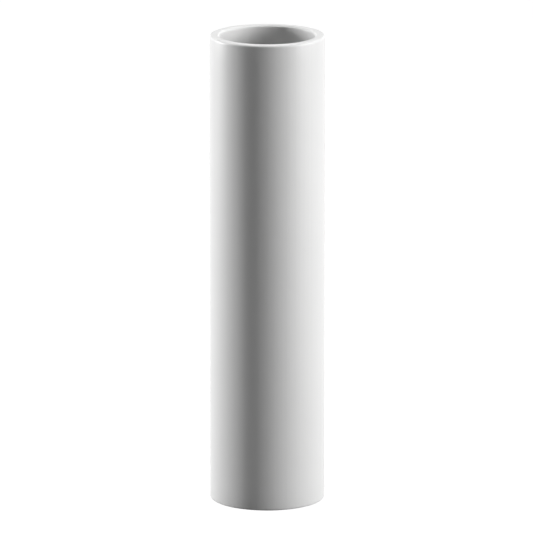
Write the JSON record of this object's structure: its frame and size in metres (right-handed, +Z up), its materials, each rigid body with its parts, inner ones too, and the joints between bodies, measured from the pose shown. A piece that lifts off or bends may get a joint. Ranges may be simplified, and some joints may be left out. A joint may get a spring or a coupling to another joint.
{
  "type": "rigid pvc conduit",
  "caption": "Short straight length of round rigid PVC conduit with a plain open bore, square sawn ends and lightly trimmed edges, standing on one end.",
  "frame": {"origin": "centre of the bottom sawn end, on the bore axis, in the plane the conduit stands on", "axes": "+Z up the bore axis from the bottom end to the top end; the tube is round about Z, so X and Y are any pair across it"},
  "size_m": [0.0422, 0.0422, 0.1735],
  "materials": {
    "pvc": "satin off-white extruded PVC, clean, with faint lengthwise die lines and fine saw marks on the ends"
  },
  "bodies": {
    "root": {"conduit_tube": "pvc"}
  },
  "joints": []
}
